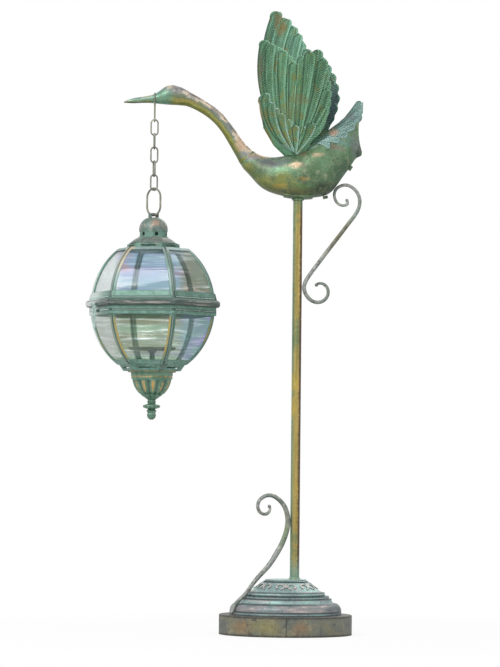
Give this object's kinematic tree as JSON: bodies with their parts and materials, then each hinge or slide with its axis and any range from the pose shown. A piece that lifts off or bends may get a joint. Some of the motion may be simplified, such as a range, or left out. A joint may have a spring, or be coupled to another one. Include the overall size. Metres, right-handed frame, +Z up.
{
  "type": "floor candle lantern",
  "caption": "Floor candle lantern: a cast bird with raised wings on a pole holds a glazed barrel lantern on a chain from its beak.",
  "frame": {"origin": "centre of the round base's underside, on the floor", "axes": "+Z up along the pole, +X from the lantern's side to the bird's tail, +Y to the far side, away from the picture's camera"},
  "size_m": [0.6257, 0.3, 1.4197],
  "materials": {
    "bird_paint": "worn green-gold patina over cast metal",
    "feather_paint": "verdigris patina with brown-gold recesses",
    "pole_paint": "olive-gold patina, semi-gloss",
    "scroll_paint": "grey-brown patina",
    "base_paint": "pale teal patina with copper rubs",
    "lantern_paint": "teal-green patina with gold rubs",
    "bowl_paint": "gold-rubbed teal patina",
    "cap_paint": "pewter and copper patina",
    "chain_metal": "aged grey-brown patina",
    "ballast_iron": "raw cast",
    "fastener_steel": "zinc plated",
    "lantern_glass": "clear"
  },
  "bodies": {
    "stand": {"base_plinth": "base_paint", "base_dome": "base_paint", "base_collar": "base_paint", "base_ballast": "ballast_iron", "tie_bolt": "fastener_steel", "pole": "pole_paint", "pole_plug": "fastener_steel", "lower_scroll": "scroll_paint", "upper_scroll": "scroll_paint", "bird_saddle": "bird_paint", "bird_seam_tabs": "fastener_steel", "bird_body_near": "bird_paint", "bird_body_far": "bird_paint", "bird_neck": "bird_paint", "bird_head": "bird_paint", "wing_near": "feather_paint", "wing_far": "feather_paint", "tail_near": "feather_paint", "tail_far": "feather_paint"},
    "beak_loop_body": {"beak_loop": "chain_metal"},
    "link_1": {"chain_link_1": "chain_metal"},
    "link_2": {"chain_link_2": "chain_metal"},
    "link_3": {"chain_link_3": "chain_metal"},
    "link_4": {"chain_link_4": "chain_metal"},
    "link_5": {"chain_link_5": "chain_metal"},
    "ring": {"hanging_ring": "chain_metal"},
    "lantern_upper": {"cap_strap": "cap_paint", "lantern_cap": "cap_paint", "vent_collar": "cap_paint", "cap_skirt": "cap_paint", "top_ring": "lantern_paint", "upper_frame": "lantern_paint", "flange": "lantern_paint", "hinge_leaf_upper": "lantern_paint", "latch_bracket": "lantern_paint", "upper_pane_1": "lantern_glass", "upper_pane_2": "lantern_glass", "upper_pane_3": "lantern_glass", "upper_pane_4": "lantern_glass", "upper_pane_5": "lantern_glass", "upper_pane_6": "lantern_glass"},
    "lantern_lower": {"lower_frame": "lantern_paint", "foot_ring": "lantern_paint", "foot_plate": "lantern_paint", "foot_cup": "lantern_paint", "fluted_bowl": "bowl_paint", "finial": "bowl_paint", "centre_rod": "fastener_steel", "candle_stem": "lantern_paint", "candle_dish": "lantern_paint", "hinge_leaf_lower": "lantern_paint", "latch_stud": "lantern_paint", "lower_pane_1": "lantern_glass", "lower_pane_2": "lantern_glass", "lower_pane_3": "lantern_glass", "lower_pane_4": "lantern_glass", "lower_pane_5": "lantern_glass", "lower_pane_6": "lantern_glass"},
    "hasp": {"latch_hasp": "lantern_paint"}
  },
  "joints": [
    {"name": "beak_loop_swing", "type": "hinge", "parent": "stand", "child": "beak_loop_body", "pos_m": [-0.307, 0, 1.2094], "axis": [1, 0, 0], "range_deg": [-15, 15]},
    {"name": "link_1_swing", "type": "hinge", "parent": "beak_loop_body", "child": "link_1", "pos_m": [-0.307, 0, 1.1574], "axis": [0, 1, 0], "range_deg": [-15, 15]},
    {"name": "link_2_swing", "type": "hinge", "parent": "link_1", "child": "link_2", "pos_m": [-0.307, 0, 1.1261], "axis": [-0.9976, -0.0698, 0], "range_deg": [-15, 15]},
    {"name": "link_3_swing", "type": "hinge", "parent": "link_2", "child": "link_3", "pos_m": [-0.307, 0, 1.0948], "axis": [0.1392, -0.9903, 0], "range_deg": [-15, 15]},
    {"name": "link_4_swing", "type": "hinge", "parent": "link_3", "child": "link_4", "pos_m": [-0.307, 0, 1.0635], "axis": [0.9781, 0.2079, 0], "range_deg": [-15, 15]},
    {"name": "link_5_swing", "type": "hinge", "parent": "link_4", "child": "link_5", "pos_m": [-0.307, 0, 1.0322], "axis": [-0.2756, 0.9613, 0], "range_deg": [-15, 15]},
    {"name": "ring_swing", "type": "hinge", "parent": "link_5", "child": "ring", "pos_m": [-0.307, 0, 1.0009], "axis": [-0.9397, -0.342, 0], "range_deg": [-15, 15]},
    {"name": "lantern_swing", "type": "hinge", "parent": "ring", "child": "lantern_upper", "pos_m": [-0.307, 0, 0.9436], "axis": [0.7431, -0.6691, 0], "range_deg": [-15, 15]},
    {"name": "lower_bowl_hinge", "type": "hinge", "parent": "lantern_upper", "child": "lantern_lower", "pos_m": [-0.17697, 0.04913, 0.7289], "axis": [0.3535, -0.9354, 0], "range_deg": [0, 60]},
    {"name": "hasp_hinge", "type": "hinge", "parent": "lantern_upper", "child": "hasp", "pos_m": [-0.43665, -0.04899, 0.7389], "axis": [-0.3535, 0.9354, 0], "range_deg": [0, 100]}
  ]
}
